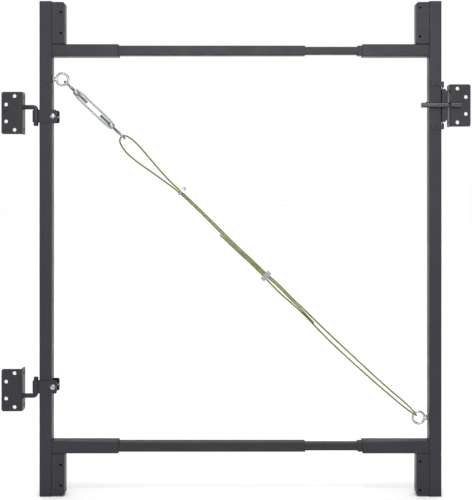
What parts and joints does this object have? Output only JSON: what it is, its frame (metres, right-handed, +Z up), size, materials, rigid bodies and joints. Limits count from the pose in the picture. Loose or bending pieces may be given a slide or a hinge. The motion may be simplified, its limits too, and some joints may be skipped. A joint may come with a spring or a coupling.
{
  "type": "livestock panel gate",
  "caption": "Adjustable gate frame of telescoping square tubes with clamp-on hinges, a gravity latch and a diagonal wire rope brace tightened by a turnbuckle.",
  "frame": {"origin": "ground under the middle of the kit's overall box: halfway between the outer edges of the two posts' plates, and halfway in its depth", "axes": "+Z up, +X from the hinge post to the latch post, +Y away from the viewer, through the gateway; the gate opens towards -Y"},
  "size_m": [1.2202, 0.07, 1.29],
  "materials": {
    "frame_coat": "dark grey powder coat, fine orange peel",
    "tube_coat": "dark grey powder coat, lightly scuffed by sliding",
    "bracket_coat": "dark grey powder coat on sheet steel",
    "hook_coat": "dark powder coat on round bar",
    "striker_coat": "dark grey powder coat, rubbed on its upper side",
    "cap_plastic": "moulded dark grey plastic",
    "zinc_plated_steel": "bright zinc plating",
    "galvanised_steel": "galvanised, slightly dull",
    "coated_rope": "wire rope in a yellow-green plastic coat"
  },
  "bodies": {
    "root": {"upper_hinge_post_bracket": "bracket_coat", "lower_hinge_post_bracket": "bracket_coat", "upper_hinge_hook": "hook_coat", "lower_hinge_hook": "hook_coat"},
    "left_frame": {"left_upright": "frame_coat", "left_top_cap": "cap_plastic", "left_bottom_cap": "cap_plastic", "left_top_sleeve": "frame_coat", "left_bottom_sleeve": "frame_coat", "top_left_corner_bracket": "frame_coat", "bottom_left_corner_bracket": "frame_coat", "upper_hinge_clamp": "bracket_coat", "lower_hinge_clamp": "bracket_coat", "upper_clamp_bolt": "zinc_plated_steel", "lower_clamp_bolt": "zinc_plated_steel", "upper_clamp_nut": "zinc_plated_steel", "lower_clamp_nut": "zinc_plated_steel", "left_eye_bolt": "zinc_plated_steel", "left_eye_nut": "zinc_plated_steel", "left_eye_insert": "zinc_plated_steel", "turnbuckle_upper_screw": "galvanised_steel", "turnbuckle_lower_screw": "galvanised_steel", "truss_cable": "coated_rope"},
    "turnbuckle_frame": {"turnbuckle_frame": "galvanised_steel"},
    "left_tubes": {"left_top_tube": "tube_coat", "left_bottom_tube": "tube_coat"},
    "inner_tubes": {"inner_top_tube": "tube_coat", "inner_bottom_tube": "tube_coat"},
    "right_tubes": {"right_top_tube": "tube_coat", "right_bottom_tube": "tube_coat"},
    "right_frame": {"right_upright": "frame_coat", "right_top_cap": "cap_plastic", "right_bottom_cap": "cap_plastic", "right_top_sleeve": "frame_coat", "right_bottom_sleeve": "frame_coat", "top_right_corner_bracket": "frame_coat", "bottom_right_corner_bracket": "frame_coat", "right_eye_bolt": "zinc_plated_steel", "right_eye_nut": "zinc_plated_steel", "right_eye_insert": "zinc_plated_steel", "latch_gate_bracket": "bracket_coat", "striker_rod": "striker_coat", "latch_bracket_screws": "bracket_coat"},
    "latch_post": {"latch_post_bracket": "bracket_coat", "catch_pivot_pin": "zinc_plated_steel", "catch_stop_rivet": "zinc_plated_steel"},
    "catch": {"latch_catch": "bracket_coat"},
    "clip_1": {"clip_1_saddle": "zinc_plated_steel", "clip_1_u_bolt": "zinc_plated_steel", "clip_1_nuts": "zinc_plated_steel"},
    "clip_2": {"clip_2_saddle": "zinc_plated_steel", "clip_2_u_bolt": "zinc_plated_steel", "clip_2_nuts": "zinc_plated_steel"}
  },
  "joints": [
    {"name": "gate_swing", "type": "hinge", "parent": "root", "child": "left_frame", "pos_m": [-0.52165, -0.003, 0.64], "axis": [0, 0, -1], "range_deg": [0, 100]},
    {"name": "width_slide", "type": "slide", "parent": "left_frame", "child": "right_frame", "axis": [1, 0, 0], "range_m": [-0.198, 0.411], "deforming": ["truss_cable"]},
    {"name": "left_tubes_slide", "type": "slide", "parent": "left_frame", "child": "left_tubes", "axis": [1, 0, 0], "range_m": [-0.04, 0.0825]},
    {"name": "inner_tubes_slide", "type": "slide", "parent": "left_frame", "child": "inner_tubes", "axis": [1, 0, 0], "range_m": [-0.1585, 0.329]},
    {"name": "right_tubes_slide", "type": "slide", "parent": "left_frame", "child": "right_tubes", "axis": [1, 0, 0], "range_m": [-0.1745, 0.362]},
    {"name": "clip_1_shift", "type": "slide", "parent": "left_frame", "child": "clip_1", "axis": [1, 0, 0], "range_m": [-0.0205, 0.042]},
    {"name": "clip_2_shift", "type": "slide", "parent": "left_frame", "child": "clip_2", "axis": [1, 0, 0], "range_m": [-0.099, 0.205]},
    {"name": "latch_post_shift", "type": "slide", "parent": "root", "child": "latch_post", "axis": [1, 0, 0], "range_m": [-0.1985, 0.4115]},
    {"name": "catch_lift", "type": "hinge", "parent": "latch_post", "child": "catch", "pos_m": [0.55415, 0.005, 1.05], "axis": [-1, 0, 0], "range_deg": [0, 50]},
    {"name": "turnbuckle_turn", "type": "hinge", "parent": "left_frame", "child": "turnbuckle_frame", "pos_m": [-0.37255, 0.007, 1.00984], "axis": [0.7251, 0, -0.6886], "continuous": true}
  ],
  "couplings": [
    {"joint": "left_tubes_slide", "follows": "width_slide", "ratio": 0.2},
    {"joint": "inner_tubes_slide", "follows": "width_slide", "ratio": 0.8},
    {"joint": "right_tubes_slide", "follows": "width_slide", "ratio": 0.88},
    {"joint": "clip_1_shift", "follows": "width_slide", "ratio": 0.101},
    {"joint": "clip_2_shift", "follows": "width_slide", "ratio": 0.498},
    {"joint": "latch_post_shift", "follows": "width_slide", "ratio": 1}
  ]
}
